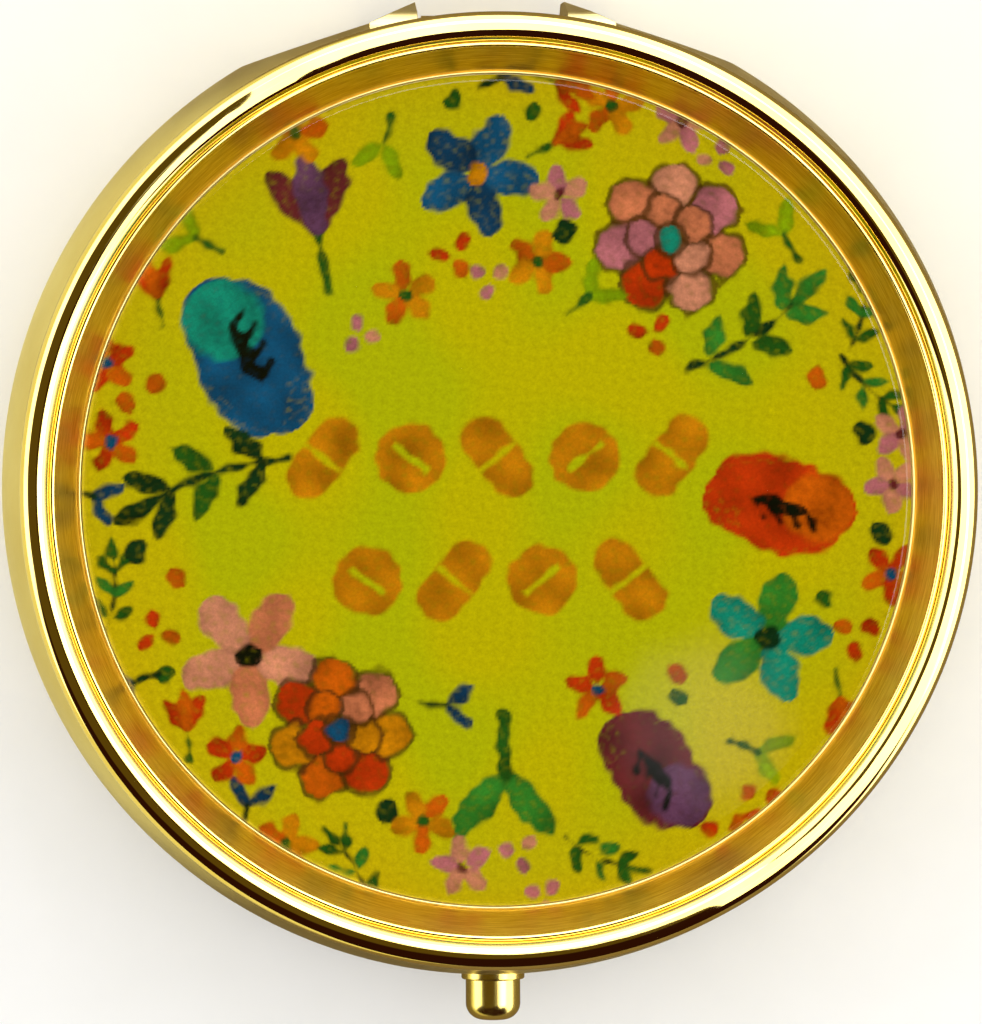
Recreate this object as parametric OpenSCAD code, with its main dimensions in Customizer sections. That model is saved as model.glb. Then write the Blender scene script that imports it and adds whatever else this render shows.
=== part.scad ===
// Round push-button pill box: a stamped base and lid joined by a rear hinge, a picture under a
// clear dome in the lid, a drop-in tray of three compartments and a sprung front catch.
// Millimetres. The origin is the centre of the base's underside, +Z is up, the button faces -Y
// and the hinge is at +Y.

/* [Base] */
// Largest radius of the base, at its belly
base_r = 25; // [22:0.1:30]
// Height of the base's top edge
base_h = 9.5; // [9:0.1:12]
// Height of the belly, the widest level of the base
belly_z = 5; // [4.5:0.1:5.5]
// Radius of the bulging side, seen in section
bulge_r = 11.13; // [10:0.01:14]
// Rounding between the side and the flat underside
corner_r = 2; // [1.5:0.1:2.5]
// Sheet thickness of the base
base_wall = 0.7; // [0.5:0.05:0.8]
// Depth that the two rear flats cut into the belly
flat_cut = 0.6; // [0.3:0.05:0.8]
// Angle of each rear flat from the hinge side
flat_angle = 18; // [15:1:21]

/* [Inner ring and tray] */
// Width of the ring between the tray's well and the base's wall
ring_w = 3.45; // [3.3:0.05:4]
// Sheet thickness of the ring's flange
ring_t = 0.4; // [0.3:0.05:0.5]
// Drop from the base's top edge to the flange
ring_drop = 0.2; // [0.1:0.05:0.4]
// Height of the upstand that centres the lid
upstand_h = 0.8; // [0.5:0.05:0.9]
// Wall of the tray
tray_wall = 0.8; // [0.6:0.05:1.2]
// Thickness of the ribs between the compartments
rib_t = 0.9; // [0.7:0.05:1.5]
// Number of compartments
compartments = 3; // [2:1:4]
// Height of the tray's lip above the flange
lip_t = 0.6; // [0.4:0.05:0.7]
// Reach of the tray's lip over the flange
lip_w = 0.95; // [0.5:0.05:1.2]

/* [Lid] */
// How far the lid's edge stands in from the base's top edge
lid_inset = 0.05; // [0:0.01:0.3]
// Height of the lid, from its lower edge to the top of its bead
lid_h = 5; // [4.6:0.1:6.5]
// Radius of the bead's section
bead_r = 0.73; // [0.6:0.01:0.85]
// Sheet thickness of the lid's side
lid_wall = 0.6; // [0.4:0.05:0.65]
// Width of the step between the bead and the recess
step_w = 0.3; // [0.2:0.05:0.5]
// Depth of the recess below the step
recess_depth = 2.2; // [1.8:0.1:2.6]
// Run of the sloping wall of the recess, seen from above
slope_w = 1.27; // [0.8:0.01:1.8]
// Thickness of the recess floor
floor_t = 0.5; // [0.4:0.05:0.6]
// Thickness of the printed card
card_t = 0.3; // [0.2:0.05:0.4]
// Height of the clear dome at its edge
dome_edge = 0.95; // [0.7:0.05:1.1]
// Rise of the clear dome from its edge to its crown
dome_rise = 0.65; // [0.4:0.05:0.9]
// Thickness of the liner under the lid
liner_t = 0.4; // [0.3:0.05:0.5]

/* [Hinge] */
// Distance from the lid's edge in to the pin's axis
pin_inset = 0.65; // [0.6:0.05:0.8]
// Distance from the base's top edge down to the pin's axis
pin_drop = 1.3; // [1.2:0.05:1.5]
// Radius of the pin
pin_r = 0.4; // [0.3:0.05:0.45]
// Radius of the lid's knuckle
knuckle_r = 0.66; // [0.6:0.02:0.75]
// Gap between the two lugs
lug_gap = 7.6; // [6:0.1:10]
// Width of each lug
lug_w = 2.45; // [2:0.05:3]
// How far the lugs' tips stand behind the lid's edge
lug_reach = 0.8; // [0.6:0.05:1]

/* [Button and catch] */
// Radius of the button
button_r = 1.4; // [1.1:0.02:1.7]
// How far the button stands out of the base
button_out = 2.35; // [1.5:0.05:3]
// Rounding of the button's end
button_round = 0.85; // [0.4:0.05:1.1]
// Travel of the button
button_travel = 0.8; // [0.6:0.05:0.85]
// Overlap of the hook under the catch bar
hook_bite = 0.4; // [0.3:0.05:0.45]
// Width of the hook
hook_w = 2.4; // [1.8:0.1:3]
// Radius of the spring's coil, at the wire's centre
spring_r = 0.72; // [0.68:0.01:0.75]
// Radius of the spring's wire
wire_r = 0.12; // [0.1:0.01:0.13]
// Number of the spring's turns
spring_turns = 5; // [4:1:6]

/* [Hidden] */
$fn = 192;

// Clearances
seam_gap = 0.1;      // between the base's edge and the lid's
fit_gap = 0.05;      // between pieces of one body, and round the pin in its knuckle
slide_gap = 0.1;     // round the catch slide in its guide
move_gap = 0.3;      // round the pieces that turn with the lid
leaf_gap = 0.03;     // between the hinge leaf's corners and the lid's wall
hook_gap = 0.92;     // between the hook and the lid's wall, where the inner ring's edge passes
big = 2 * base_r;    // longer than anything it cuts

// Base
corner_z = corner_r;
bulge_x = base_r - bulge_r;
corner_x = bulge_x + sqrt(pow(bulge_r - corner_r, 2) - pow(belly_z - corner_z, 2));
flat_d = base_r - flat_cut;

// Radius of the base's side at height z, with the surface set in by inset
function side_r(z, inset = 0) = bulge_x + sqrt(pow(bulge_r - inset, 2) - pow(z - belly_z, 2));
// Distance behind the centre of a rear flat at a distance x to the side
function flat_y(x, inset = 0) = (flat_d - inset - abs(x) * sin(flat_angle)) / cos(flat_angle);

lid_r = side_r(base_h) - lid_inset;

// Hinge
pin_y = lid_r - pin_inset;
pin_z = base_h - pin_drop;
lug_x = lug_gap / 2;
pocket_x = lug_x + lug_w;
leaf_t = 0.4;
leaf_half = lug_x - 0.2;
leaf_y = sqrt(pow(lid_r - lid_wall, 2) - pow(leaf_half, 2)) - leaf_t - leaf_gap;
web_t = 0.5;
pocket_y = leaf_y - move_gap - web_t;

// Inner ring and tray
flange_top = base_h - ring_drop;
flange_z = flange_top - ring_t;
flange_r = side_r(flange_top, base_wall) - fit_gap;
well_r = flange_r - ring_w;
ring_wall = 0.35;
upstand_t = 0.3;
upstand_r = lid_r - lid_wall - 0.25;
floor_z = base_wall + fit_gap;
tray_r = well_r - 2 * fit_gap;
tray_top = flange_top + lip_t;
tray_floor = 0.9;
tray_fillet = 1.2;

// Lid
lid_z = base_h + seam_gap;
lid_top = lid_z + lid_h;
bead_x = lid_r - bead_r;
bead_z = lid_top - bead_r;
step_r = lid_r - 2 * bead_r;
step_z = bead_z - 0.07;
step_t = 0.5;
lip_r = 0.14;
recess_r = step_r - step_w;
card_top = step_z - recess_depth;
well_floor_r = recess_r - slope_w;
recess_floor = card_top - card_t;
card_r = well_floor_r - fit_gap;
liner_z = lid_z + 0.7;
liner_flange = 1.8;
liner_r = lid_r - lid_wall;
pad_t = 0.4;
pad_z = liner_z - pad_t;

// Button and catch
button_z = belly_z;
bushing_r = button_r + 0.22;
bushing_out = 0.25;
wall_in = base_r - base_wall;
shank_t = 0.45;
shank_y = liner_r - hook_gap;
tab_t = 0.4;
tab_y = shank_y + 0.15 + button_travel + tab_t;
bushing_end = tab_y + fit_gap;
slide_z = button_z + 1.7;
slide_t = 0.6;
window_w = hook_w + 0.8;
slide_bar = 1;
slide_w = window_w + 2 * slide_bar;
nose_tip = shank_y - shank_t - 0.75;
catch_y = nose_tip + hook_bite;
catch_t = 0.5;
guide_t = 0.5;
guide_lip = 0.4;
tail_r = 0.45;
tail_len = 0.9;

// Places of the rivets, as [x, y]
hook_rivet_x = hook_w / 2 + 0.7;
hook_rivet_y = -(shank_y - 1.0);
pad_half = hook_rivet_x + 0.8;
leaf_rivet_x = lug_x - 1.4;
leaf_rivet_y = leaf_y - 1.3;
rivet_r = 0.35;
rivet_head = 0.55;
rivet_head_t = 0.18;
rivet_places = [
  for (side = [-1, 1]) [side * hook_rivet_x, hook_rivet_y],
  for (side = [-1, 0, 1]) [side * leaf_rivet_x, leaf_rivet_y]
];

// Half-section of the base's outer form, set in by inset, from the axis outwards
module barrel_section(inset = 0) {
  tangent = (bulge_r - inset) / (bulge_r - corner_r);
  tangent_x = bulge_x + tangent * (corner_x - bulge_x);
  tangent_z = belly_z - tangent * (belly_z - corner_z);
  intersection() {
    union() {
      intersection() {
        translate([bulge_x, belly_z]) circle(r = bulge_r - inset, $fn = 360);
        translate([0, tangent_z]) square([big, base_h]);
      }
      translate([corner_x, corner_z]) circle(r = corner_r - inset, $fn = 96);
      polygon([
        [0, inset], [corner_x, inset], [tangent_x, tangent_z], [bulge_x, base_h], [bulge_x, big], [0, big]
      ]);
    }
    square([big, base_h + inset]);
  }
}

// Everything in front of the two rear flats
module front_of_flats(inset = 0) {
  translate([0, 0, -1])
    linear_extrude(big)
      polygon([
        [-big, flat_y(big, inset)], [0, flat_y(0, inset)], [big, flat_y(big, inset)],
        [big, -big], [-big, -big]
      ]);
}

// The rear pocket that the hinge stands in, made larger by grow
module hinge_pocket(grow = 0) {
  translate([-pocket_x - grow, pocket_y - grow, -1]) cube([2 * (pocket_x + grow), big, big]);
}

// A cylinder along Y from y0 to y1
module rod_y(r, y0, y1, x = 0, z = 0) {
  translate([x, y0, z]) rotate([-90, 0, 0]) cylinder(r = r, h = y1 - y0, $fn = 64);
}

module base_shell() {
  color("darkkhaki")
    difference() {
      intersection() {
        rotate_extrude() barrel_section();
        front_of_flats();
      }
      hinge_pocket();
      difference() {
        intersection() {
          rotate_extrude() barrel_section(base_wall);
          front_of_flats(base_wall);
        }
        hinge_pocket(base_wall);
      }
      rod_y(bushing_r, -base_r - 1, -wall_in + 1.5, z = button_z);
    }
}

module inner_ring() {
  rise = ring_t + upstand_h;
  edge = upstand_t / 3;
  color("gold")
    difference() {
      rotate_extrude() {
        translate([well_r, flange_z]) square([flange_r - well_r, ring_t]);
        translate([well_r, floor_z]) square([ring_wall, flange_z + ring_t / 2 - floor_z]);
        translate([upstand_r - upstand_t, flange_z])
          polygon([
            [0, 0], [upstand_t, 0], [upstand_t, rise - edge], [upstand_t - edge, rise], [edge, rise],
            [0, rise - edge]
          ]);
      }
      hinge_pocket(base_wall + fit_gap);
      translate([-base_r / 2, 0, flange_top]) cube([base_r, big, big]);
      translate([-window_w / 2, -shank_y - move_gap, flange_z - 1])
        cube([window_w, shank_y - nose_tip + 2 * move_gap, 2 + ring_t]);
    }
}

module tray_section() {
  inner_r = tray_r - tray_wall;
  bottom = floor_z + tray_floor;
  difference() {
    union() {
      translate([0, floor_z]) square([tray_r, tray_top - floor_z]);
      translate([0, flange_top + fit_gap]) square([well_r + lip_w - 0.2, lip_t - fit_gap]);
      translate([well_r + lip_w - 0.2, flange_top + fit_gap]) square([0.2, lip_t - fit_gap - 0.2]);
      translate([well_r + lip_w - 0.2, tray_top - 0.2]) circle(r = 0.2, $fn = 32);
    }
    translate([0, bottom + tray_fillet]) square([inner_r, big]);
    translate([0, bottom]) square([inner_r - tray_fillet, big]);
    translate([inner_r - tray_fillet, bottom + tray_fillet]) circle(r = tray_fillet, $fn = 64);
  }
}

module pill_tray() {
  color("white") {
    rotate_extrude() tray_section();
    for (i = [0 : compartments - 1])
      rotate([0, 0, 90 + i * 360 / compartments])
        translate([0, -rib_t / 2, floor_z]) cube([tray_r - tray_wall / 2, rib_t, tray_top - floor_z]);
  }
}

// A hinge lug, seen from above, on the +X side
module lug_plan() {
  polygon([
    [lug_x, pocket_y], [pocket_x, pocket_y], [pocket_x, flat_y(pocket_x)], [lug_x, lid_r + lug_reach]
  ]);
}

// The lugs' section across the hinge, as [y, z]
module lug_section() {
  lug_r = pin_inset + 0.3;
  tip = lid_r + lug_reach;
  translate([pin_y, pin_z]) circle(r = lug_r, $fn = 64);
  polygon([
    [pocket_y, corner_z], [tip - 0.8, corner_z], [tip, corner_z + 1.4], [tip, pin_z - 2.1],
    [pin_y + lug_r, pin_z], [pin_y, pin_z + lug_r], [pocket_y, pin_z + lug_r]
  ]);
}

module hinge_bracket() {
  color("darkkhaki")
    difference() {
      union() {
        for (side = [0, 1])
          mirror([side, 0, 0])
            intersection() {
              linear_extrude(base_h) lug_plan();
              rotate([90, 0, 90]) linear_extrude(pocket_x + 1) lug_section();
            }
        translate([-lug_x - 0.5, pocket_y, corner_z])
          cube([lug_gap + 1, web_t, pin_z + pin_inset - corner_z]);
      }
      translate([-pocket_x + 0.8, pin_y, pin_z]) rotate([0, 90, 0])
        cylinder(r = pin_r, h = 2 * (pocket_x - 0.8), $fn = 64);
    }
}

module hinge_pin() {
  color("silver")
    translate([-pocket_x + 0.9, pin_y, pin_z]) rotate([0, 90, 0])
      cylinder(r = pin_r, h = 2 * (pocket_x - 0.9), $fn = 64);
}

module latch_guide() {
  front = shank_y + 0.55;
  rear = well_r + ring_wall + fit_gap;
  groove = slide_w / 2 + slide_gap;
  mouth = groove - guide_lip;
  groove_z = slide_z - slide_gap;
  color("goldenrod")
    difference() {
      translate([-groove - guide_t, -front, groove_z - guide_t])
        cube([2 * (groove + guide_t), front - rear, flange_z - groove_z + guide_t]);
      translate([-mouth, -front - 1, 0]) cube([2 * mouth, big, flange_z - ring_t]);
      translate([-groove, -front - 1, groove_z]) cube([2 * groove, big, slide_t + 2 * slide_gap]);
      translate([-window_w / 2, -shank_y - move_gap, 0])
        cube([window_w, shank_y - nose_tip + 2 * move_gap, big]);
    }
}

module button_bushing() {
  color("gold")
    difference() {
      rod_y(bushing_r, -base_r - bushing_out, -bushing_end, z = button_z);
      rod_y(button_r + fit_gap, -base_r - 1, -bushing_end + 1, z = button_z);
    }
}

module lid_section() {
  side_round = 0.25;
  translate([liner_r, lid_z]) square([lid_wall - side_round, bead_z - lid_z]);
  translate([liner_r, lid_z + side_round]) square([lid_wall, bead_z - lid_z - side_round]);
  translate([lid_r - side_round, lid_z + side_round]) circle(r = side_round, $fn = 48);
  translate([bead_x, bead_z]) circle(r = bead_r, $fn = 96);
  translate([recess_r + lip_r, step_z]) circle(r = lip_r, $fn = 32);
  polygon([
    [0, recess_floor - floor_t], [well_floor_r + 0.3, recess_floor - floor_t],
    [recess_r + 0.5, step_z - step_t], [bead_x, step_z - step_t], [bead_x, step_z], [recess_r, step_z],
    [well_floor_r, card_top], [well_floor_r, recess_floor], [0, recess_floor]
  ]);
}

module lid_shell() {
  color("gold") rotate_extrude() lid_section();
}

module lid_liner() {
  color("khaki")
    rotate_extrude() {
      translate([0, liner_z]) square([liner_r, liner_t]);
      translate([liner_r - liner_t, liner_z]) square([liner_t, liner_flange]);
    }
}

module picture_disc() {
  color("yellow") translate([0, 0, recess_floor]) cylinder(r = card_r, h = card_t);
}

module clear_dome() {
  edge_round = 0.45;
  bands = 6;
  inner_r = card_r - edge_round;
  edge_z = card_top + dome_edge;
  color("lightyellow", 0.5)
    rotate_extrude() {
      translate([inner_r, edge_z - edge_round]) circle(r = edge_round, $fn = 64);
      translate([0, card_top]) square([card_r, dome_edge - edge_round]);
      polygon([
        [0, card_top], [inner_r, card_top],
        for (i = [bands : -1 : 0])
          let (x = inner_r * i / bands) [x, edge_z + dome_rise * (1 - pow(x / inner_r, 2))]
      ]);
    }
}

module hinge_leaf() {
  color("gold")
    difference() {
      union() {
        translate([-leaf_half, pin_y, pin_z]) rotate([0, 90, 0])
          cylinder(r = knuckle_r, h = 2 * leaf_half, $fn = 64);
        translate([-leaf_half, leaf_y, pin_z]) cube([2 * leaf_half, leaf_t, liner_z - pin_z]);
        translate([-leaf_half, leaf_y - 2.2, pad_z]) cube([2 * leaf_half, 2.2 + leaf_t, pad_t]);
      }
      translate([-leaf_half - 1, pin_y, pin_z]) rotate([0, 90, 0])
        cylinder(r = pin_r + fit_gap, h = 2 * leaf_half + 2, $fn = 64);
      rivet_holes();
    }
}

// The hook's section along the travel, as [y, z] with y counted inwards from the front
module hook_section() {
  nose_top = slide_z - slide_gap;
  nose_low = nose_top - 0.55;
  polygon([
    [-shank_y, liner_z], [-shank_y, nose_low], [-nose_tip - 0.45, nose_low], [-nose_tip, nose_top - 0.15],
    [-nose_tip, nose_top], [-shank_y + shank_t, nose_top], [-shank_y + shank_t, pad_z],
    [-shank_y + 1.9, pad_z], [-shank_y + 1.9, liner_z]
  ]);
}

module latch_hook() {
  color("silver")
    difference() {
      intersection() {
        translate([-pad_half, 0, 0]) rotate([90, 0, 90]) linear_extrude(2 * pad_half) hook_section();
        union() {
          translate([-hook_w / 2, -big, 0]) cube([hook_w, big, big]);
          translate([-pad_half, -big, pad_z]) cube([2 * pad_half, big, big]);
        }
      }
      rivet_holes();
    }
}

module rivet_holes() {
  for (p = rivet_places)
    translate([p[0], p[1], pad_z - 1]) cylinder(r = rivet_r, h = 2, $fn = 32);
}

module lid_rivets() {
  color("goldenrod")
    for (p = rivet_places)
      translate([p[0], p[1], 0]) {
        translate([0, 0, pad_z]) cylinder(r = rivet_r, h = pad_t, $fn = 32);
        translate([0, 0, pad_z - rivet_head_t])
          cylinder(r1 = rivet_r, r2 = rivet_head, h = rivet_head_t, $fn = 32);
      }
}

module push_button() {
  length = button_out + base_r - tab_y;
  color("gold")
    translate([0, -tab_y, button_z]) rotate([90, 0, 0]) {
      rotate_extrude($fn = 96)
        intersection() {
          union() {
            square([button_r, length - button_round]);
            square([button_r - button_round, length]);
            translate([button_r - button_round, length - button_round]) circle(r = button_round, $fn = 96);
          }
          square([button_r, length]);
        }
      translate([0, 0, -tab_t - tail_len]) cylinder(r = tail_r, h = tab_t + tail_len + 0.1, $fn = 48);
    }
}

module catch_slide() {
  tab_half = slide_w / 2 - 0.4;
  tab_low = button_z - button_r;
  rear = catch_y - catch_t;
  color("silver")
    difference() {
      union() {
        translate([-tab_half, -tab_y, tab_low]) cube([2 * tab_half, tab_t, slide_z + slide_t - tab_low]);
        translate([-slide_w / 2, -tab_y, slide_z]) cube([slide_w, tab_y - rear, slide_t]);
      }
      translate([-window_w / 2, -tab_y + tab_t, slide_z - 1])
        cube([window_w, tab_y - tab_t - catch_y, slide_t + 2]);
      rod_y(tail_r, -tab_y - 1, -tab_y + 1, z = button_z);
    }
}

// A coil spring along Y as one swept tube with closed ends
module button_spring() {
  sides = 8;
  steps = 16;
  y0 = -tab_y + tab_t + wire_r;
  y1 = -(well_r + ring_wall + wire_r);
  rings = spring_turns * steps;
  points = [
    for (i = [0 : rings])
      let (turn = 360 * i / steps, y = y0 + (y1 - y0) * i / rings)
        for (j = [0 : sides - 1])
          let (a = 360 * j / sides, r = spring_r + wire_r * cos(a))
            [r * cos(turn), y + wire_r * sin(a), button_z + r * sin(turn)]
  ];
  faces = concat(
    [[for (j = [0 : sides - 1]) j]],
    [[for (j = [0 : sides - 1]) rings * sides + sides - 1 - j]],
    [
      for (i = [0 : rings - 1])
        for (j = [0 : sides - 1])
          let (k = (j + 1) % sides)
            [i * sides + j, (i + 1) * sides + j, (i + 1) * sides + k, i * sides + k]
    ]
  );
  color("silver") polyhedron(points, faces, convexity = 8);
}

base_shell();
inner_ring();
pill_tray();
hinge_bracket();
hinge_pin();
latch_guide();
button_bushing();
lid_shell();
lid_liner();
picture_disc();
clear_dome();
hinge_leaf();
latch_hook();
lid_rivets();
push_button();
catch_slide();
button_spring();
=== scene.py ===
import math

import bmesh
import bpy
import numpy as np
from mathutils import Matrix, Vector


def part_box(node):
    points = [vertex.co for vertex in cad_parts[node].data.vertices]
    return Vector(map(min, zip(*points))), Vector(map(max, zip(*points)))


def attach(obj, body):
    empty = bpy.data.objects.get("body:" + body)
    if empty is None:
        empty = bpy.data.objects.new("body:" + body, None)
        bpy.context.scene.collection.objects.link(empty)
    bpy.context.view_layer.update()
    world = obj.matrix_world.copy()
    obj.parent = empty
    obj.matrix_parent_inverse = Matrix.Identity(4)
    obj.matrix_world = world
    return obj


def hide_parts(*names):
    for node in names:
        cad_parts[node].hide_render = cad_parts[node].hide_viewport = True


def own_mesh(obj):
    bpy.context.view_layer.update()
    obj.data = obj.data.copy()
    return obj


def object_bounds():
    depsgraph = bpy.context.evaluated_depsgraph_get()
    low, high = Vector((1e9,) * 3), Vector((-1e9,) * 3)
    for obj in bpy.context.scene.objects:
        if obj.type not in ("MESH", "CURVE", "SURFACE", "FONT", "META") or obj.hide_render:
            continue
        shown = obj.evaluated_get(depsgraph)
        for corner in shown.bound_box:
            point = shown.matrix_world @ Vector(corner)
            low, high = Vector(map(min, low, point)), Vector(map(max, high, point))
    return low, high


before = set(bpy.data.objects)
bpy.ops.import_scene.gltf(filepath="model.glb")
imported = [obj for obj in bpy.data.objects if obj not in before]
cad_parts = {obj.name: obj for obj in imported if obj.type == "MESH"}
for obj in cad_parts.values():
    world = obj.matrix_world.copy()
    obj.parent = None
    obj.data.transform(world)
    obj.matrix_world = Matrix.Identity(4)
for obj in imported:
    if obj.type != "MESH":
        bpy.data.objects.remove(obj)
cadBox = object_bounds()
mm = 0.001  # sizes below are in millimetres, and this turns them to Blender's metres
print("frame loaded:", len(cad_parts), "nodes")


def hexToLinear(text):
    channels = [int(text[i:i + 2], 16) / 255 for i in (1, 3, 5)]
    return [c / 12.92 if c <= 0.04045 else ((c + 0.055) / 1.055) ** 2.4 for c in channels]


def colourOf(text):
    return (*hexToLinear(text), 1)


def grey(level):
    return (level, level, level, 1)


def addNode(tree, kind, inputs=None, **settings):
    node = tree.nodes.new("ShaderNode" + kind)
    for name, value in settings.items():
        setattr(node, name, value)
    for name, value in (inputs or {}).items():
        if isinstance(value, bpy.types.NodeSocket):
            tree.links.new(value, node.inputs[name])
        else:
            node.inputs[name].default_value = value
    return node


def startMaterial(name, **values):
    material = bpy.data.materials.new(name)
    material.use_nodes = True
    shader = material.node_tree.nodes["Principled BSDF"]
    for key, value in values.items():
        shader.inputs[key].default_value = value
    return material, material.node_tree, shader


def objectPlace(tree):
    return addNode(tree, "TexCoord").outputs["Object"]


def blendColours(tree, pattern, deep, light, start=0.0, end=1.0):
    tone = addNode(tree, "ValToRGB", {"Fac": pattern})
    first, last = tone.color_ramp.elements
    first.position, last.position = start, end
    first.color, last.color = colourOf(deep), colourOf(light)
    return tone.outputs[0]


def perMm(size):
    return 1 / (size * mm)  # noise scale for features of that size


def lowHigh(node):
    low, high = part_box(node)
    return [v / mm for v in low], [v / mm for v in high]


def arc(x, z, radius, start, end, steps):
    angles = [math.radians(start + (end - start) * i / steps) for i in range(steps + 1)]
    return [(x + radius * math.cos(a), z + radius * math.sin(a)) for a in angles]


def spinOutline(outline, steps, closed=False):
    bm = bmesh.new()
    verts = [bm.verts.new((x * mm, 0, z * mm)) for x, z in outline]
    pairs = list(zip(verts, verts[1:])) + ([(verts[-1], verts[0])] if closed else [])
    edges = [bm.edges.new(pair) for pair in pairs]
    bmesh.ops.spin(bm, geom=verts + edges, axis=(0, 0, 1), cent=(0, 0, 0), angle=math.tau,
                   steps=steps, use_merge=True)
    bmesh.ops.remove_doubles(bm, verts=bm.verts, dist=1e-7)
    bmesh.ops.recalc_face_normals(bm, faces=bm.faces)
    return bm


def layAlongY(bm, y, z):
    # turns a piece spun about Z so that its top faces the front
    bmesh.ops.rotate(bm, verts=bm.verts, matrix=Matrix.Rotation(math.pi / 2, 3, "X"))
    bmesh.ops.translate(bm, verts=bm.verts, vec=(0, y * mm, z * mm))


def toObject(name, bm):
    mesh = bpy.data.meshes.new(name)
    bm.to_mesh(mesh)
    bm.free()
    piece = bpy.data.objects.new(name, mesh)
    bpy.context.scene.collection.objects.link(piece)
    return piece


def dressPiece(piece, body, slot, replaced, materials, sharp):
    for material in materials:
        piece.data.materials.append(material)
    piece.data.shade_smooth()
    piece.data.set_sharp_from_angle(angle=math.radians(sharp))
    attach(piece, body)
    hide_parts(*replaced)
    if slot not in studio["dullSlots"]:
        metals.objects.link(piece)
    print("made", piece.name, len(piece.data.polygons), "faces")
    return piece


def subtract(piece, cutters):
    for cutter in cutters:
        cut = piece.modifiers.new("cut", "BOOLEAN")
        cut.operation = "DIFFERENCE"
        cut.solver = "EXACT"
        cut.object = cutter
    bpy.context.view_layer.update()
    result = bpy.data.meshes.new_from_object(piece.evaluated_get(bpy.context.evaluated_depsgraph_get()))
    piece.modifiers.clear()
    piece.data = result
    for cutter in cutters:
        bpy.data.objects.remove(cutter)
    return piece


def boxCutter(low, high):
    bm = bmesh.new()
    bmesh.ops.create_cube(bm, size=1)
    bmesh.ops.scale(bm, vec=[(b - a) * mm for a, b in zip(low, high)], verts=bm.verts)
    bmesh.ops.translate(bm, vec=[(a + b) / 2 * mm for a, b in zip(low, high)], verts=bm.verts)
    return toObject("cutter", bm)


def roundEdges(piece, width, segments):
    edge = piece.modifiers.new("edge", "BEVEL")
    edge.width = width * mm
    edge.segments = segments
    edge.limit_method = "ANGLE"
    edge.angle_limit = math.radians(50)


# camera: straight above, leaning a little from behind and from the left; it aims at the bead's middle level
view = {"distance": 345, "leanBack": 1.8, "leanLeft": 3.2, "roll": 0.37, "aim": (-0.48, -0.995),
        "belowTop": 0.73, "shownHigh": 51.2, "sensor": 36}


def makeCamera():
    data = bpy.data.cameras.new("camera")
    camera = bpy.data.objects.new("camera", data)
    bpy.context.scene.collection.objects.link(camera)
    target = Vector((*view["aim"], cadBox[1][2] / mm - view["belowTop"])) * mm
    leanBack, leanLeft, roll = (math.radians(view[key]) for key in ("leanBack", "leanLeft", "roll"))
    back = Vector((-math.sin(leanLeft), math.sin(leanBack), 1)).normalized()
    up = back.cross(Vector((math.cos(roll), -math.sin(roll), 0))).normalized()
    side = up.cross(back).normalized()
    turn = Matrix((side, up, back)).transposed().to_4x4()
    camera.matrix_world = Matrix.Translation(target + back * view["distance"] * mm) @ turn
    data.sensor_width = view["sensor"]
    data.lens = view["sensor"] * view["distance"] / view["shownHigh"]
    data.clip_start = 0.01
    bpy.context.scene.camera = camera


makeCamera()


# light: even and white on matt surfaces; in the gold a dark ceiling over the left and the front,
# and a bright panel over the right, which only the metals mirror
studio = {
    "bright": 3.0,
    "soft": 1.18,
    "patches": [  # azimuth, angle from straight up, radius, softness in degrees, and colour
        (0, 0, 26, 3, "#4A3A16"), (262, 56, 56, 3, "#2C1208"), (168, 22, 32, 3, "#5A4A1C"),
        (318, 11.5, 1.4, 1.3, "#FFFFFF")],
    "panel": {"turn": 30, "near": 0, "deep": 60, "wide": 150, "high": 66},
    "dullSlots": ("clear_resin", "printed_card", "tray_plastic"),
    "floor": {"reach": 900, "light": "#F8F7F5", "deep": "#F1F0EC", "grain": 3},
    # painted reflection: floor colours that only mirror rays see, brown right of the first x and pale gold
    # left of the second, in mm
    "paintedReflection": {"right": "#7A6A48", "left": "#E7E2A9", "from": -15, "to": -24},
}
metals = bpy.data.collections.new("metals")


def makeWorld():
    world = bpy.data.worlds.new("studio")
    bpy.context.scene.world = world
    world.use_nodes = True
    world.cycles.sampling_method = "NONE"  # only bounced rays find the sky, so each kind sees its own colours
    tree = world.node_tree
    tree.nodes.clear()
    where = addNode(tree, "TexCoord")
    glow = addNode(tree, "RGB")
    glow.outputs[0].default_value = grey(studio["bright"])
    for azimuth, tilt, radius, soft, tint in studio["patches"]:
        turn, lean = math.radians(azimuth), math.radians(tilt)
        centre = (math.sin(lean) * math.cos(turn), math.sin(lean) * math.sin(turn), math.cos(lean))
        facing = addNode(tree, "VectorMath", {0: where.outputs["Generated"], 1: centre},
                         operation="DOT_PRODUCT")
        edge = addNode(tree, "MapRange", {
            "Value": facing.outputs["Value"],
            "From Min": math.cos(math.radians(radius + soft)),
            "From Max": math.cos(math.radians(radius - soft)),
        }, interpolation_type="SMOOTHSTEP")
        glow = addNode(tree, "MixRGB", {0: edge.outputs[0], 1: glow.outputs[0], 2: colourOf(tint)})
    seen = addNode(tree, "LightPath")
    even = grey(studio["soft"])
    matt = addNode(tree, "MixRGB", {0: seen.outputs["Is Diffuse Ray"], 1: glow.outputs[0], 2: even})
    shown = addNode(tree, "MixRGB", {0: seen.outputs["Is Camera Ray"], 1: matt.outputs[0], 2: grey(1)})
    back = addNode(tree, "Background", {"Color": shown.outputs[0]})
    addNode(tree, "OutputWorld", {"Surface": back.outputs[0]})


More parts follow.
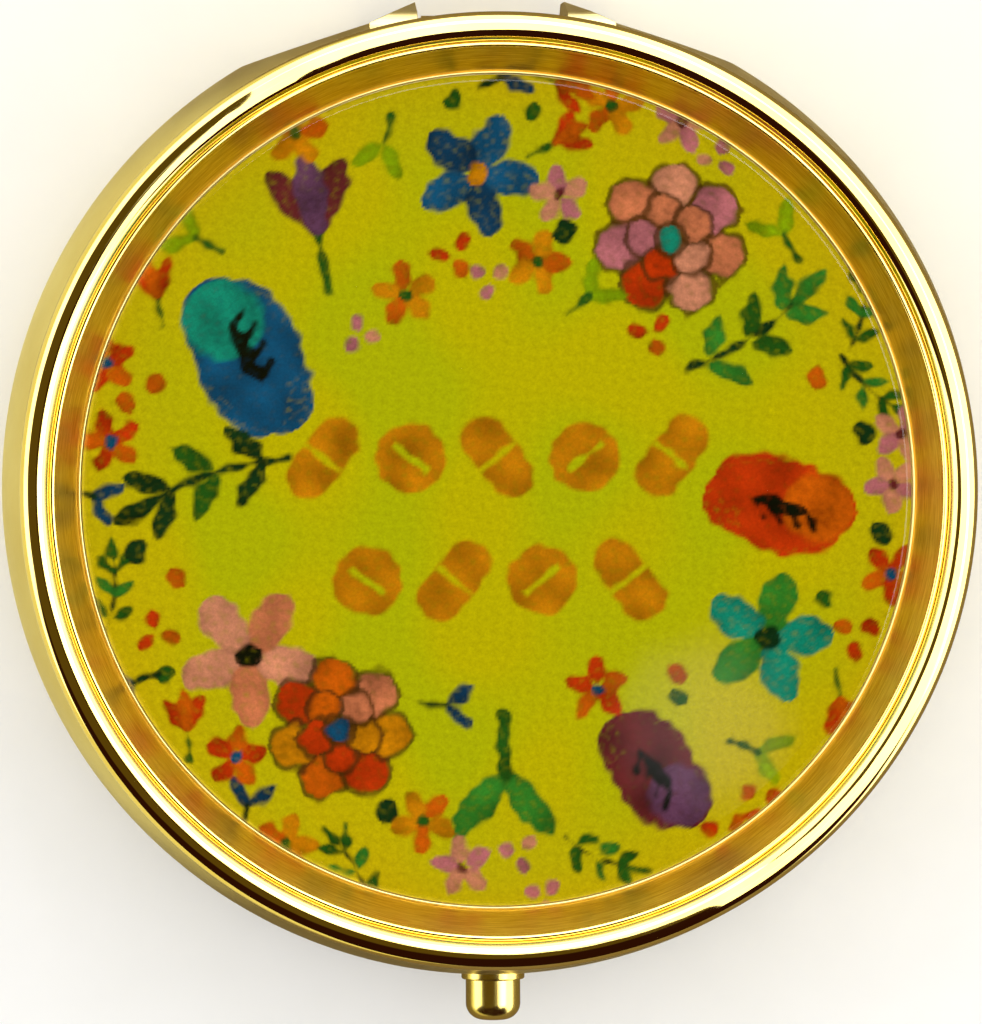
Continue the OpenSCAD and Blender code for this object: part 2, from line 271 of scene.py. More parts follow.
def makePanel():
    panel = studio["panel"]
    data = bpy.data.lights.new("panel", "AREA")
    data.shape = "RECTANGLE"
    data.size, data.size_y = (panel["deep"] - panel["near"]) * mm, panel["wide"] * mm
    data.energy = studio["bright"] * math.pi * data.size * data.size_y  # as bright as the open sky
    light = bpy.data.objects.new("panel", data)
    bpy.context.scene.collection.objects.link(light)
    middle = Vector(((panel["near"] + panel["deep"]) / 2, 0, panel["high"])) * mm
    light.matrix_world = Matrix.Rotation(math.radians(panel["turn"]), 4, "Z") @ Matrix.Translation(middle)
    for seenBy in ("camera", "diffuse", "transmission", "volume_scatter", "shadow"):
        setattr(light, "visible_" + seenBy, False)
    light.light_linking.receiver_collection = metals


def makeFloor():
    look, paintedReflection = studio["floor"], studio["paintedReflection"]
    bm = bmesh.new()
    bmesh.ops.create_grid(bm, x_segments=1, y_segments=1, size=look["reach"] * mm)
    floor = toObject("floor", bm)
    paint, tree, shader = startMaterial("matt white studio floor", Roughness=0.9)
    grain = addNode(tree, "TexNoise", {"Scale": perMm(look["grain"]), "Detail": 6})
    tone = blendColours(tree, grain.outputs[0], look["deep"], look["light"])
    across = addNode(tree, "SeparateXYZ", {"Vector": objectPlace(tree)})
    left = addNode(tree, "MapRange", {
        "Value": across.outputs[0], "From Min": paintedReflection["from"] * mm, "From Max": paintedReflection["to"] * mm})
    gold = addNode(tree, "MixRGB", {
        0: left.outputs[0], 1: colourOf(paintedReflection["right"]), 2: colourOf(paintedReflection["left"])})
    seen = addNode(tree, "LightPath")  # painted reflection: mirror rays see a brown floor, pale gold far to the left, so the gold shows painted dark and light bands
    shade = addNode(tree, "MixRGB", {0: seen.outputs["Is Glossy Ray"], 1: tone, 2: gold.outputs[0]})
    tree.links.new(shade.outputs[0], shader.inputs["Base Color"])
    floor.data.materials.append(paint)


makeWorld()
makePanel()
makeFloor()
bpy.context.scene.view_settings.view_transform = "Standard"
print("camera and studio ready")


# sizes in mm of what shows on any plated sheet: clouds of tone, smudges and the pressing's own waves
plating = {"cloud": 7, "smudge": 2.5, "swell": 2.8}


def wornMetal(name, light, deep, rough, scuff, grain, depth, wave):
    # plated metal: a slow change of tone, fine grain, smudges that dull the gloss and a wavy pressing
    material, tree, shader = startMaterial(name, Metallic=1.0)
    place = objectPlace(tree)
    cloud = addNode(tree, "TexNoise", {"Vector": place, "Scale": perMm(plating["cloud"]), "Detail": 3})
    tone = blendColours(tree, cloud.outputs[0], deep, light, 0.35, 0.65)
    tree.links.new(tone, shader.inputs["Base Color"])
    smudge = addNode(tree, "TexNoise", {
        "Vector": place, "Scale": perMm(plating["smudge"]), "Detail": 5, "Roughness": 0.7})
    gloss = addNode(tree, "MapRange", {
        "Value": smudge.outputs[0], "From Min": 0.35, "From Max": 0.75,
        "To Min": rough, "To Max": rough + scuff})
    tree.links.new(gloss.outputs[0], shader.inputs["Roughness"])
    fine = addNode(tree, "TexNoise", {
        "Vector": place, "Scale": perMm(grain), "Detail": 4, "Roughness": 0.6})
    swell = addNode(tree, "TexNoise", {"Vector": place, "Scale": perMm(plating["swell"]), "Detail": 1})
    slow = addNode(tree, "Bump", {"Height": swell.outputs[0], "Distance": wave * mm, "Strength": 1})
    bump = addNode(tree, "Bump", {
        "Height": fine.outputs[0], "Distance": depth * mm, "Strength": 1, "Normal": slow.outputs[0]})
    tree.links.new(bump.outputs[0], shader.inputs["Normal"])
    return material


def turnedMetal(name, light, deep, rough, line, depth):
    # spun sheet: fine rings left by the forming tool all round the axis, which drift by 1.2 mm a radian
    material, tree, shader = startMaterial(name, Metallic=1.0)
    split = addNode(tree, "SeparateXYZ", {"Vector": objectPlace(tree)})
    flat = addNode(tree, "CombineXYZ", {"X": split.outputs[0], "Y": split.outputs[1]})
    radius = addNode(tree, "VectorMath", {0: flat.outputs[0]}, operation="LENGTH")
    around = addNode(tree, "Math", {0: split.outputs[1], 1: split.outputs[0]}, operation="ARCTAN2")
    drift = addNode(tree, "Math", {0: around.outputs[0], 1: 1.2 * mm}, operation="MULTIPLY")
    rings = addNode(tree, "CombineXYZ", {
        "X": radius.outputs["Value"], "Y": split.outputs[2], "Z": drift.outputs[0]})
    streak = addNode(tree, "TexNoise", {
        "Vector": rings.outputs[0], "Scale": perMm(line), "Detail": 5, "Roughness": 0.65})
    tone = blendColours(tree, streak.outputs[0], deep, light, 0.36, 0.64)
    tree.links.new(tone, shader.inputs["Base Color"])
    gloss = addNode(tree, "MapRange", {
        "Value": streak.outputs[0], "To Min": rough + 0.1, "To Max": rough - 0.05})
    tree.links.new(gloss.outputs[0], shader.inputs["Roughness"])
    bump = addNode(tree, "Bump", {"Height": streak.outputs[0], "Distance": depth * mm, "Strength": 1})
    tree.links.new(bump.outputs[0], shader.inputs["Normal"])
    return material


# the bead is nearly a mirror, the turned button a little duller and the base satin and paler; the stamped
# ring keeps its sheet's grain, and the steel is grey. After the colours: roughness, how much smudges add
# to it, then grain size, grain depth and wave depth in mm
beadGold = wornMetal("polished gold plating", "#F8E08A", "#F4D874", 0.03, 0.04, 0.35, 0.00012, 0.03)
buttonGold = wornMetal("turned gold plating", "#F3DA78", "#EFD065", 0.17, 0.08, 0.3, 0.0003, 0.006)
satinGold = wornMetal("champagne gold plating", "#E0CF92", "#D6C27F", 0.3, 0.12, 0.12, 0.001, 0.02)
ringGold = wornMetal("stamped gold-tone brass", "#EBD27C", "#E2C568", 0.16, 0.14, 0.2, 0.0008, 0.01)
nickel = wornMetal("nickel plated steel", "#C9C7C0", "#B9B6AD", 0.2, 0.15, 0.15, 0.0006, 0.008)
# after the colours: roughness, then a ring's width and depth in mm
# the wall's colours are a deeper amber than the bead's on the same spun shell: painted shade for the lid's
# recess, over the real turning rings
recessShadedGold = turnedMetal("spun gold wall", "#EEC852", "#CE9C2C", 0.28, 0.09, 0.004)
linerGold = turnedMetal("spun gold liner", "#EBD489", "#DCC06A", 0.26, 0.16, 0.0012)
print("metals ready")


# lid: bead, lip, sloping wall, foot ridge and recess floor in one spun shell
lid = {"bead": 0.73, "wall": 0.6, "edgeRound": 0.25, "stepDrop": 0.07, "stepWide": 0.3, "lip": 0.15,
       "wallRound": 0.06, "wallDrop": 0.1, "cardGap": 0.05, "ridge": 0.07, "ridgeHigh": 0.15,
       "sheet": 0.5, "footWide": 0.3, "steps": 320}


def makeLid():
    low, high = lowHigh("lid_shell")
    cardLow, cardHigh = lowHigh("picture_disc")
    radius, top, bottom = high[0], high[2], low[2]
    bead, edge, ridge, sheet = lid["bead"], lid["edgeRound"], lid["ridge"], lid["sheet"]
    beadX, beadZ = radius - bead, top - bead
    stepZ = beadZ - lid["stepDrop"]
    recess = radius - 2 * bead - lid["stepWide"]
    well, floorZ = cardHigh[0] + lid["cardGap"], cardLow[2]
    ridgeX = well + ridge
    outline = [(0, floorZ), (well, floorZ)]
    outline += arc(ridgeX, cardHigh[2] + lid["ridgeHigh"], ridge, 180, 20, 10)
    outline += arc(recess - lid["wallRound"], stepZ - lid["wallDrop"], lid["wallRound"], -28, 0, 3)
    outline += arc(recess + lid["lip"], stepZ, lid["lip"], 180, -40, 18)
    outline += arc(beadX, beadZ, bead, 190, 0, 60)
    outline += arc(radius - edge, bottom + edge, edge, 0, -90, 8)
    outline += [(radius - lid["wall"], bottom), (radius - lid["wall"], stepZ - sheet)]
    outline += [(recess + sheet, stepZ - sheet), (well + lid["footWide"], floorZ - sheet)]
    outline += [(0, floorZ - sheet)]
    bm = spinOutline(outline, lid["steps"])
    # faces of the recess wall take the gold painted darker for shade, and the foot ridge the satin gold
    for face in bm.faces:
        centre = face.calc_center_median() / mm
        reach = math.hypot(centre.x, centre.y)
        onWall = reach < recess and centre.z > floorZ - 0.1
        onRidge = onWall and reach < ridgeX + ridge * 0.9
        face.material_index = 2 if onRidge else 1 if onWall else 0
    dressPiece(toObject("lid_case", bm), "lid", "polished_gold", ["lid_shell"],
               [beadGold, recessShadedGold, satinGold], 40)


makeLid()


# base: bulging dish with two rear flats and a pocket for the hinge
base = {"belly": 5, "bulge": 11.13, "corner": 2, "wall": 0.7, "flatCut": 0.6, "flatAngle": 18, "rim": 0.12,
        "steps": 288, "holeSteps": 64, "holeDeep": 4}
cutPast = {"mouth": 0.5, "below": 1, "beyond": 2}  # how far each cutter passes the dish, for a clean cut


def dishOutline(inset, radius, height):
    bulgeX, corner = radius - base["bulge"], base["corner"]
    cornerX = bulgeX + math.sqrt((base["bulge"] - corner) ** 2 - (base["belly"] - corner) ** 2)
    low = math.degrees(math.atan2(corner - base["belly"], cornerX - bulgeX))
    bulge = base["bulge"] - inset
    high = math.degrees(math.asin((height - base["belly"]) / bulge))
    outline = [(0, inset)] + arc(cornerX, corner, corner - inset, -90, low, 10)
    return outline + arc(bulgeX, base["belly"], bulge, low, high, 36)[1:] + [(0, height)]


def bisectFlats(bm, distance):
    for side in (-1, 1):
        tilt = math.radians(base["flatAngle"]) * side
        outward = Vector((math.sin(tilt), math.cos(tilt), 0))
        cut = bmesh.ops.bisect_plane(bm, geom=bm.verts[:] + bm.edges[:] + bm.faces[:],
                                     plane_co=outward * distance * mm, plane_no=outward, clear_outer=True)
        rim = [e for e in cut["geom_cut"] if isinstance(e, bmesh.types.BMEdge)]
        bmesh.ops.edgeloop_fill(bm, edges=rim)


def makeBase():
    radius, _, height = lowHigh("base_shell")[1]
    wall, flat = base["wall"], radius - base["flatCut"]
    bracketLow, bracketHigh = lowHigh("hinge_bracket")
    bushLow, bushHigh = lowHigh("button_bushing")
    outer = spinOutline(dishOutline(0, radius, height), base["steps"])
    bisectFlats(outer, flat)
    inner = spinOutline(dishOutline(wall, radius, height + cutPast["mouth"]), base["steps"])
    bisectFlats(inner, flat - wall)
    pocketX, pocketY = bracketHigh[0], bracketLow[1]
    under, behind, above = -cutPast["below"], radius + cutPast["beyond"], height + cutPast["beyond"]
    piece = toObject("base_case", outer)
    hollow = subtract(toObject("hollow", inner), [
        boxCutter((-pocketX - wall, pocketY - wall, under), (pocketX + wall, behind, above))])
    pocket = boxCutter((-pocketX, pocketY, under), (pocketX, behind, above))
    hole = bmesh.new()
    bushRadius = (bushHigh[0] - bushLow[0]) / 2 * mm
    bmesh.ops.create_cone(hole, cap_ends=True, segments=base["holeSteps"], radius1=bushRadius,
                          radius2=bushRadius, depth=base["holeDeep"] * mm)
    layAlongY(hole, -radius, (bushLow[2] + bushHigh[2]) / 2)
    subtract(piece, [pocket, hollow, toObject("hole", hole)])
    roundEdges(piece, base["rim"], 3)
    dressPiece(piece, "case", "satin_gold", ["base_shell"], [satinGold], 35)


makeBase()


# clear dome over the picture; the gap keeps its underside just off the card
dome = {"edgeRound": 0.45, "edgeHigh": 0.95, "crownSteps": 40, "steps": 256, "gap": 0.004}


def castResin():
    # clear cast epoxy: see-through with a hard gloss and a few soft ripples from curing
    material = bpy.data.materials.new("clear cast resin")
    material.use_nodes = True
    tree = material.node_tree
    tree.nodes.clear()
    ripple = addNode(tree, "TexNoise", {"Vector": objectPlace(tree), "Scale": perMm(6), "Detail": 2})
    bump = addNode(tree, "Bump", {"Height": ripple.outputs[0], "Distance": 0.01 * mm, "Strength": 1})
    clear = addNode(tree, "BsdfTransparent", {"Color": (0.99, 0.99, 0.96, 1)})
    shine = addNode(tree, "BsdfGlossy", {"Roughness": 0.03, "Normal": bump.outputs[0]})
    edge = addNode(tree, "Fresnel", {"IOR": 1.5, "Normal": bump.outputs[0]})
    side = addNode(tree, "NewGeometry")  # only the outer side shines, so light leaves the card unweakened
    front = addNode(tree, "Math", {0: 1, 1: side.outputs["Backfacing"]}, operation="SUBTRACT")
    share = addNode(tree, "Math", {0: edge.outputs[0], 1: front.outputs[0]}, operation="MULTIPLY")
    both = addNode(tree, "MixShader", {0: share.outputs[0], 1: clear.outputs[0], 2: shine.outputs[0]})
    addNode(tree, "OutputMaterial", {"Surface": both.outputs[0]})
    return material


def makeDome():
    low, high = lowHigh("clear_dome")
    radius, bottom = high[0], low[2] + dome["gap"]
    edge, steps = dome["edgeRound"], dome["crownSteps"]
    flat, edgeZ = radius - edge, low[2] + dome["edgeHigh"]
    rise = high[2] - edgeZ
    crown = [(flat * i / steps, edgeZ + rise * (1 - (i / steps) ** 2)) for i in range(steps - 1, -1, -1)]
    slope = math.degrees(math.atan(2 * rise / flat))
    outline = [(0, bottom), (radius, bottom)] + arc(flat, edgeZ - edge, edge, 0, 90 - slope, 14) + crown
    piece = toObject("resin_dome", spinOutline(outline, dome["steps"]))
    dressPiece(piece, "lid", "clear_resin", ["clear_dome"], [castResin()], 50)


makeDome()


# button and its bushing, turned about the line that the button slides on
button = {"round": 0.85, "footIn": 0.06, "footHigh": 0.05, "sink": 0.02, "tail": 0.45, "tailEdge": 0.07,
          "overlap": 0.1, "steps": 128, "tailSteps": 48}
collar = {"gap": 0.05, "outerRound": 0.09, "innerRound": 0.06}


def makeButton():
    low, high = lowHigh("push_button")
    bushLow, bushHigh = lowHigh("button_bushing")
    back = lowHigh("catch_slide")[0][1]  # the button's shoulder rests on the slide's front face
    middle = (low[2] + high[2]) / 2
    radius, end, tail = high[0], button["round"], button["tail"]
    length, behind = back - low[1], high[1] - back
    sink, foot = button["sink"], radius - button["footIn"]
    outline = [(0, -sink), (foot, -sink), (radius, button["footHigh"])]
    outline += arc(radius - end, length - end, end, 0, 90, 20) + [(0, length)]
    bm = spinOutline(outline, button["steps"])
    layAlongY(bm, back, middle)
    outline = [(0, -behind), (tail - button["tailEdge"], -behind), (tail, -behind + button["tailEdge"])]
    outline += [(tail, button["overlap"]), (0, button["overlap"])]
    stem = spinOutline(outline, button["tailSteps"])
    layAlongY(stem, back, middle)
    shaft = bpy.data.meshes.new("stem")
    stem.to_mesh(shaft)
    stem.free()
    bm.from_mesh(shaft)
    bpy.data.meshes.remove(shaft)
    piece = toObject("button_body", bm)
    dressPiece(piece, "button", "button_gold", ["push_button"], [buttonGold], 40)
    outer, inner, thick = bushHigh[0], radius + collar["gap"], bushHigh[1] - bushLow[1]
    outerRound, innerRound = collar["outerRound"], collar["innerRound"]
    outline = [(inner, 0), (outer, 0)]
    outline += arc(outer - outerRound, thick - outerRound, outerRound, 0, 90, 5)
    outline += arc(inner + innerRound, thick - innerRound, innerRound, 90, 180, 4)
    bush = spinOutline(outline, button["steps"], True)
    layAlongY(bush, bushHigh[1], middle)
    dressPiece(toObject("button_collar", bush), "case", "button_gold", ["button_bushing"], [buttonGold], 40)


makeButton()


# printed card: a ring of simple folk flowers round two rows of tablets, all drawn by rule
card = {"cells": 306, "seed": 11, "ringMiddle": 15.2, "ringInside": 10.2, "ringOutside": 20.8, "tries": 3000,
        "clearWide": 13.4, "clearHigh": 9, "clearMiddle": -1.4,  # the ellipse kept clear for the tablets
        "noise": {"wobble": (1.3, 1), "blotch": (2.4, 2), "fleck": (0.5, 3), "cloud": (9, 4)},  # mm, seed
        "ground": "#B6AA03", "groundPatch": "#A9AB06", "groundEdge": "#BCA60A", "tablet": "#AE6C06",
        "leaf": "#2B7021", "pale": "#7F9A06", "dark": "#0B2C12", "teal": "#0E7A66", "blue": "#0A4468",
        "navy": "#07304E", "orange": "#B25006", "red": "#AA2E06", "coral": "#B86A48", "pink": "#BC7A60",
        "lilac": "#A8606A", "plum": "#5C2023", "purple": "#583552", "amber": "#B87406", "outline": "#4A2A0C",
        "ink": "#0A1006", "forest": "#1E4E12"}
# rows of count and level; capsules and round tablets of half width and height
tablets = {"rows": [(5, 1.7), (4, -4.5)], "apart": 4.4, "lean": 38, "capsule": (1.15, 4.6),
           "round": (1.75, 3.5), "score": 0.14, "roundScore": 0.62}


def softNoise(x, y, size, seed):
    # sixteen waves that cross at random, each about as long as the size in mm
    rng = np.random.RandomState(seed)
    total = np.zeros_like(x)
    for _ in range(16):
        angle, phase = rng.uniform(0, math.tau, 2)
        wave = size * rng.uniform(0.6, 1.7)
        total += np.sin((x * math.cos(angle) + y * math.sin(angle)) * math.tau / wave + phase)
    return total / math.sqrt(8)


def washOver(art, cover, paint):
    art["ink"] += cover[:, None] * (paint - art["ink"])


def lay(art, distance, colour, soft=0.2, ragged=0.07, strength=1.0, rim=0.22):
    # lays a wash of paint where distance is below nothing, with a ragged edge and a darker rim
    edge = distance + ragged * art["wobble"]
    cover = np.clip(0.5 - edge / soft, 0, 1) * strength * np.clip(1 + 0.08 * art["fleck"], 0, 1)
    shade = 1 + 0.13 * art["blotch"] + 0.07 * art["fleck"] - rim * np.exp(-(edge / 0.25) ** 2)
    washOver(art, cover, shade[:, None] * np.array(hexToLinear(card[colour])))


def petal(art, x, y, long, wide, turn, colour, tip=0.5, **wash):
    a = math.radians(turn)
    u = (art["x"] - x) * math.cos(a) + (art["y"] - y) * math.sin(a)
    v = (art["y"] - y) * math.cos(a) - (art["x"] - x) * math.sin(a)
    beyond = np.maximum(np.abs(u) - long / 2, 0)
    half = wide / 2 * (1 - np.clip(2 * u / long, -1, 1) ** 2) ** tip
    lay(art, np.where(beyond > 0, np.hypot(beyond, v), np.abs(v) - half), colour, **wash)


def stroke(art, points, width, colour, **wash):
    nearest = np.full_like(art["x"], 1e3)
    for (x0, y0), (x1, y1) in zip(points, points[1:]):
        dx, dy = x1 - x0, y1 - y0
        t = np.clip(((art["x"] - x0) * dx + (art["y"] - y0) * dy) / (dx * dx + dy * dy), 0, 1)
        nearest = np.minimum(nearest, np.hypot(art["x"] - x0 - t * dx, art["y"] - y0 - t * dy))
    lay(art, nearest - width / 2, colour, **wash)


def polar(x, y, reach, turn):
    return x + reach * math.cos(math.radians(turn)), y + reach * math.sin(math.radians(turn))


# the drawings: their lengths are shares of size, and all take the same values, so that a list can mix them
def poppy(art, x, y, size, turn, fills, heart):
    for along, across, long, broad in [(0, 0, 1, 0.54), (-0.12, 0.13, 0.64, 0.4), (0.08, -0.13, 0.66, 0.38)]:
        px, py = polar(*polar(x, y, along * size, turn), across * size, turn + 90)
        petal(art, px, py, long * size, broad * size, turn, fills[0], 0.42, rim=0.05)
    px, py = polar(x, y, 0.25 * size, turn)
    petal(art, px, py, 0.46 * size, 0.44 * size, turn, fills[1], 0.45, soft=0.5, rim=0)
    petal(art, x, y, 0.42 * size, 0.11 * size, turn - 8, heart, 0.8, ragged=0.1)
    for step in (-0.16, -0.05, 0.07, 0.18):
        root = polar(x, y, step * size, turn - 8)
        stroke(art, [root, polar(*root, 0.13 * size, turn - 62)], 0.035 * size, heart)


def rose(art, x, y, size, turn, fills, heart):
    # rings of round petals, each with a loose brown outline
    for ring, (count, reach, r) in enumerate([(7, 0.33, 0.155), (5, 0.17, 0.115)]):
        for k in range(count):
            px, py = polar(x, y, reach * size, turn + 360 * k / count + 20 * ring)
            across, fill = 2 * (r + 0.025) * size, fills[(k + ring) % len(fills)]
            petal(art, px, py, across, across, 0, "outline", ragged=0.1, strength=0.85)
            petal(art, px, py, 2 * r * size, 1.8 * r * size, turn + 50 * k, fill, rim=0.1)
    petal(art, x, y, 0.24 * size, 0.24 * size, 0, "outline", strength=0.85)
    petal(art, x, y, 0.17 * size, 0.14 * size, turn, heart)


def daisy(art, x, y, size, turn, fills, heart):
    for k in range(5):
        around = turn + 72 * k
        px, py = polar(x, y, 0.28 * size, around)
        petal(art, px, py, 0.46 * size, 0.29 * size, around, fills[k % len(fills)], 0.48, rim=0.14)
    petal(art, x, y, 0.2 * size, 0.17 * size, turn, heart)


def tulip(art, x, y, size, turn, fills, heart):
    stroke(art, [polar(x, y, -0.5 * size, turn), (x, y)], 0.07 * size, heart)
    for k in (-1, 1, 0):
        way = turn + 34 * k
        px, py = polar(x, y, 0.22 * size, way)
        petal(art, px, py, 0.62 * size, 0.24 * size, way, fills[k % len(fills)], 0.6)


def sprig(art, x, y, size, turn, fills, heart):
    # a curved stem with three pairs of leaves and one at its tip
    points = [polar(x, y, -0.5 * size, turn)]
    for i in range(6):
        points.append(polar(*points[-1], size / 7, turn - 12 + 5 * i))
    stroke(art, points, 0.045 * size, heart)
    leaf = 0.3 * size
    for k, at in enumerate((1, 3, 5)):
        for side in (-1, 1):
            way = turn - 12 + 5 * at + side * (50 - 4 * k)
            px, py = polar(*points[at], 0.55 * leaf, way)
            petal(art, px, py, leaf, 0.42 * leaf, way, fills[k % len(fills)], 0.7)
    petal(art, *polar(*points[-1], 0.4 * leaf, turn + 14), leaf, 0.4 * leaf, turn + 14, fills[0], 0.7)


def leafPair(art, x, y, size, turn, fills, heart):
    for side in (-1, 1):
        px, py = polar(x, y, 0.3 * size, turn + 40 * side)
        petal(art, px, py, 0.6 * size, 0.24 * size, turn + 40 * side, fills[side % len(fills)], 0.55)
    stroke(art, [polar(x, y, -0.45 * size, turn), (x, y)], 0.1 * size, heart)


def berries(art, x, y, size, turn, fills, heart):
    for k in range(3):
        px, py = polar(x, y, 0.3 * size, turn + 120 * k)
        petal(art, px, py, 0.36 * size, 0.3 * size, turn + 120 * k, fills[k % len(fills)])


def dot(art, x, y, size, turn, fills, heart):
    petal(art, x, y, size, 0.86 * size, turn, fills[0])


# drawing, size in mm, washes, heart or stem
blooms = [(poppy, 7.8, ["red", "orange"], "ink"), (sprig, 7.8, ["leaf", "forest"], "dark"),
          (rose, 7.8, ["pink", "coral", "lilac", "red"], "teal"), (daisy, 6.2, ["blue", "navy"], "amber"),
          (tulip, 6.8, ["purple", "plum"], "forest"), (poppy, 8.8, ["blue", "teal"], "ink"),
          (sprig, 8.4, ["dark", "forest"], "dark"), (daisy, 7.0, ["pink", "coral"], "ink"),
          (rose, 7.4, ["orange", "red", "amber", "coral"], "blue"),
          (leafPair, 6.6, ["teal", "leaf"], "forest"), (poppy, 7.0, ["plum", "purple"], "ink"),
          (daisy, 6.6, ["teal", "leaf"], "dark")]
fillers = [(daisy, 3.3, ["amber", "orange"], "forest"), (berries, 2.6, ["red", "orange"], "dark"),
           (leafPair, 3.2, ["leaf", "pale"], "forest"), (daisy, 3.0, ["pink", "lilac"], "plum"),
           (dot, 1.3, ["dark"], "dark"), (tulip, 3.4, ["orange", "red"], "forest"),
           (sprig, 4.2, ["forest", "leaf"], "dark"), (daisy, 3.2, ["red", "orange"], "blue"),
           (dot, 1.1, ["orange"], "dark"), (leafPair, 2.8, ["blue", "navy"], "dark"),
           (berries, 2.2, ["lilac", "pink"], "dark"), (dot, 1.0, ["forest"], "dark")]


def paintWreath(art):
    # the blooms stand evenly round the ring, then fillers take the places that are still free
    rng = np.random.RandomState(card["seed"])
    placed = []
    for k, (draw, size, fills, heart) in enumerate(blooms):
        around = 360 * k / len(blooms) + rng.uniform(-5, 5)
        x, y = polar(0, 0, card["ringMiddle"] + rng.uniform(-1.0, 1.4), around)
        draw(art, x, y, size, around + rng.uniform(-35, 35), fills, heart)
        placed.append((x, y, 0.46 * size))
    small = 0
    for _ in range(card["tries"]):
        x, y = polar(0, 0, rng.uniform(card["ringInside"], card["ringOutside"]), rng.uniform(0, 360))
        turn = rng.uniform(0, 360)
        draw, size, fills, heart = fillers[small % len(fillers)]
        free = all(math.hypot(x - px, y - py) > r + 0.42 * size for px, py, r in placed)
        if free and (x / card["clearWide"]) ** 2 + ((y - card["clearMiddle"]) / card["clearHigh"]) ** 2 > 1:
            draw(art, x, y, size, turn, fills, heart)
            placed.append((x, y, 0.4 * size))
            small += 1
    print("painted wreath:", len(placed), "drawings")


def paintTablets(art):
    # rows of leaning capsules and scored round tablets, with the card showing through each line
    for count, middle in tablets["rows"]:
        for k in range(count):
            x = tablets["apart"] * (k - (count - 1) / 2)
            turn = math.radians(-tablets["lean"] if k % 4 < 2 else tablets["lean"])
            u = (art["x"] - x) * math.cos(turn) + (art["y"] - middle) * math.sin(turn)
            v = (art["y"] - middle) * math.cos(turn) - (art["x"] - x) * math.sin(turn)
            shape = "capsule" if (k + count) % 2 else "round"
            r, tall = tablets[shape]
            reach = np.hypot(u, np.maximum(np.abs(v) - (tall / 2 - r), 0)) - r
            scoreHalf = r if shape == "capsule" else tablets["roundScore"] * r
            line = np.maximum(np.abs(v) - tablets["score"], np.abs(u) - scoreHalf)
            lay(art, np.maximum(reach, -line), "tablet", ragged=0.05, rim=0.05)
    print("painted tablets")


def paintCard(mesh):
    places = np.zeros(len(mesh.vertices) * 3)
    mesh.vertices.foreach_get("co", places)
    x, y = places.reshape(-1, 3)[:, 0] / mm, places.reshape(-1, 3)[:, 1] / mm
    art = {name: softNoise(x, y, *sizeAndSeed) for name, sizeAndSeed in card["noise"].items()}
    art.update({"x": x, "y": y, "ink": np.tile(hexToLinear(card["ground"]), (len(x), 1))})
    washOver(art, np.clip(0.5 + 0.5 * art["cloud"], 0, 1), np.array(hexToLinear(card["groundPatch"])))
    rim = 0.7 * np.clip((np.hypot(x, y) - 15) / 6, 0, 1)  # the ground warms from 15 to 21 mm out
    washOver(art, rim, np.array(hexToLinear(card["groundEdge"])))
    art["ink"] *= 1 + 0.035 * art["fleck"][:, None]
    paintWreath(art)
    paintTablets(art)
    ink = mesh.color_attributes.new("ink", "FLOAT_COLOR", "POINT")
    ink.data.foreach_set("color", np.column_stack([np.clip(art["ink"], 0, 1), np.ones(len(x))]).ravel())


def coatedPaper():
    # offset print on coated card: matte ink and a fine paper tooth; the resin wets it, so it has no gloss
    material, tree, shader = startMaterial("printed coated card", Roughness=0.6)
    shader.inputs["Specular IOR Level"].default_value = 0
    ink = addNode(tree, "VertexColor", layer_name="ink")
    tooth = addNode(tree, "TexNoise", {"Vector": objectPlace(tree), "Scale": perMm(0.14), "Detail": 3})
    grain = addNode(tree, "MapRange", {
        "Value": tooth.outputs[0], "From Min": 0.3, "From Max": 0.7, "To Min": 0.9, "To Max": 1.1})
    tint = addNode(tree, "VectorMath", {0: ink.outputs["Color"], "Scale": grain.outputs[0]},
                   operation="SCALE")
    tree.links.new(tint.outputs[0], shader.inputs["Base Color"])
    bump = addNode(tree, "Bump", {"Height": tooth.outputs[0], "Distance": 0.01 * mm, "Strength": 1})
    tree.links.new(bump.outputs[0], shader.inputs["Normal"])
    return material


def makeCard():
    low, high = lowHigh("picture_disc")
    radius, top = high[0] * mm, high[2] * mm
    bm = bmesh.new()
    bmesh.ops.create_grid(bm, x_segments=card["cells"], y_segments=card["cells"], size=1)
    for v in bm.verts:  # draws the square grid out to a disc
        u, w = v.co.x, v.co.y
        v.co = (radius * u * math.sqrt(1 - w * w / 2), radius * w * math.sqrt(1 - u * u / 2), top)
    rim = [e for e in bm.edges if e.is_boundary]
    down = bmesh.ops.extrude_edge_only(bm, edges=rim)["geom"]
    lower = [g for g in down if isinstance(g, bmesh.types.BMVert)]
    bmesh.ops.translate(bm, verts=lower, vec=(0, 0, (low[2] - high[2]) * mm))
    bmesh.ops.edgeloop_fill(bm, edges=[e for e in bm.edges if e.is_boundary])
    bmesh.ops.recalc_face_normals(bm, faces=bm.faces)
    piece = toObject("printed_card", bm)
    paintCard(piece.data)
    dressPiece(piece, "lid", "printed_card", ["picture_disc"], [coatedPaper()], 40)


makeCard()


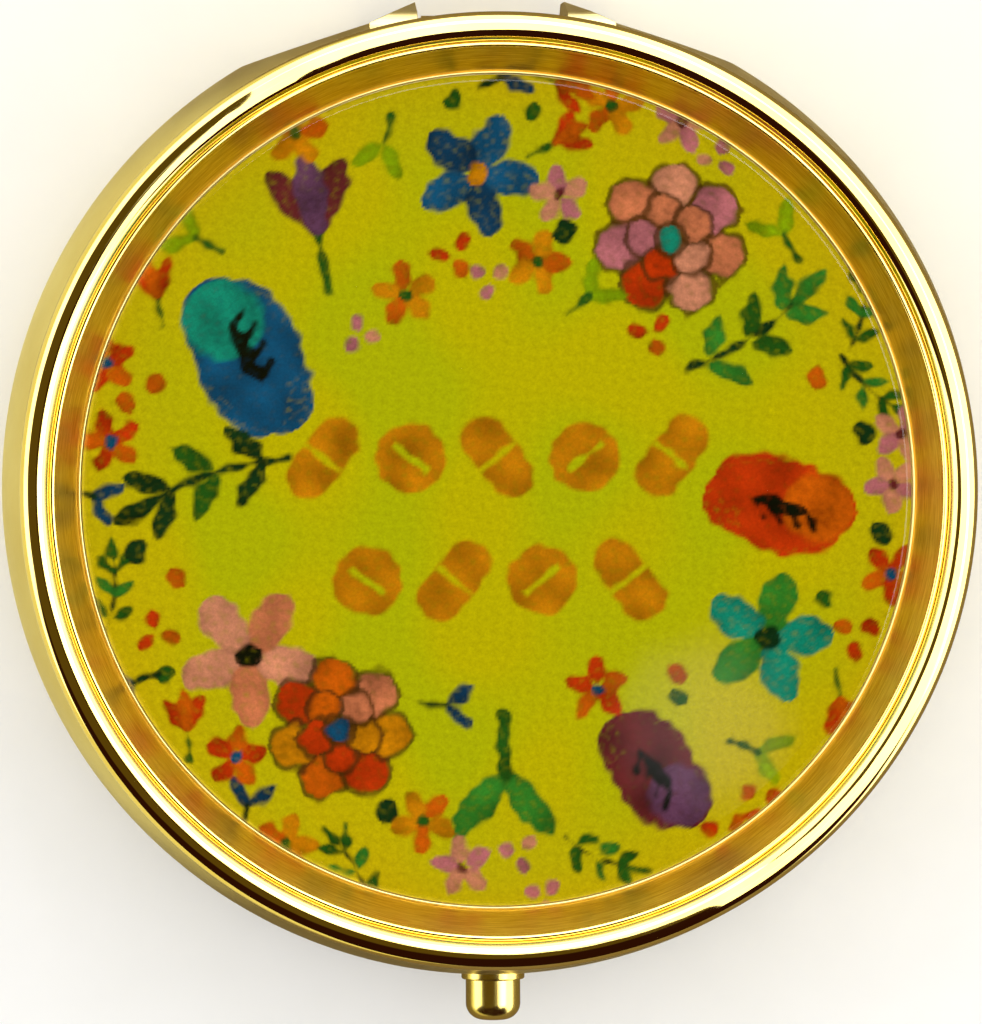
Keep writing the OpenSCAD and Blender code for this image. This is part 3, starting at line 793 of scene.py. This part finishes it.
def mouldedPlastic(name, light, deep):
    # injection-moulded polystyrene: milky, evenly glossy, with faint flow marks and a fine mould grain
    material, tree, shader = startMaterial(name, IOR=1.59)
    shader.inputs["Subsurface Weight"].default_value = 0.15
    shader.inputs["Subsurface Radius"].default_value = (0.6 * mm, 0.55 * mm, 0.45 * mm)
    place = objectPlace(tree)
    flow = addNode(tree, "TexNoise", {"Vector": place, "Scale": perMm(9), "Detail": 3, "Distortion": 1.2})
    tone = blendColours(tree, flow.outputs[0], deep, light)
    tree.links.new(tone, shader.inputs["Base Color"])
    gloss = addNode(tree, "MapRange", {"Value": flow.outputs[0], "To Min": 0.2, "To Max": 0.34})
    tree.links.new(gloss.outputs[0], shader.inputs["Roughness"])
    grain = addNode(tree, "TexNoise", {"Vector": place, "Scale": perMm(0.18), "Detail": 2})
    bump = addNode(tree, "Bump", {"Height": grain.outputs[0], "Distance": 0.003 * mm, "Strength": 1})
    tree.links.new(bump.outputs[0], shader.inputs["Normal"])
    return material


def smoothCopy(node, body, slot, material, bevel=0.0, sharp=32):
    # a CAD part with merged corners, so that its round faces shade smoothly
    bm = bmesh.new()
    bm.from_mesh(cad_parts[node].data)
    bmesh.ops.remove_doubles(bm, verts=bm.verts, dist=1e-6)
    bmesh.ops.dissolve_limit(bm, angle_limit=math.radians(0.5), verts=bm.verts, edges=bm.edges)
    piece = toObject(node + "_piece", bm)
    if bevel:
        roundEdges(piece, bevel, 2)
    return dressPiece(piece, body, slot, [node], [material], sharp)


# parts carried over from the frame
tray = mouldedPlastic("moulded polystyrene", "#F1EFE8", "#EAE7DE")
smoothCopy("pill_tray", "case", "tray_plastic", tray)
smoothCopy("inner_ring", "case", "ring_gold", ringGold)
smoothCopy("hinge_bracket", "case", "satin_gold", satinGold, bevel=0.12, sharp=15)
smoothCopy("hinge_pin", "case", "steel", nickel)
smoothCopy("latch_guide", "case", "ring_gold", ringGold)
smoothCopy("lid_liner", "lid", "ring_gold", linerGold)
smoothCopy("hinge_leaf", "lid", "ring_gold", ringGold)
smoothCopy("latch_hook", "lid", "steel", nickel)
smoothCopy("lid_rivets", "lid", "ring_gold", ringGold)
smoothCopy("catch_slide", "button", "steel", nickel)
spring = smoothCopy("button_spring", "button", "steel", nickel, sharp=60)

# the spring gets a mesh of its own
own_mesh(spring)
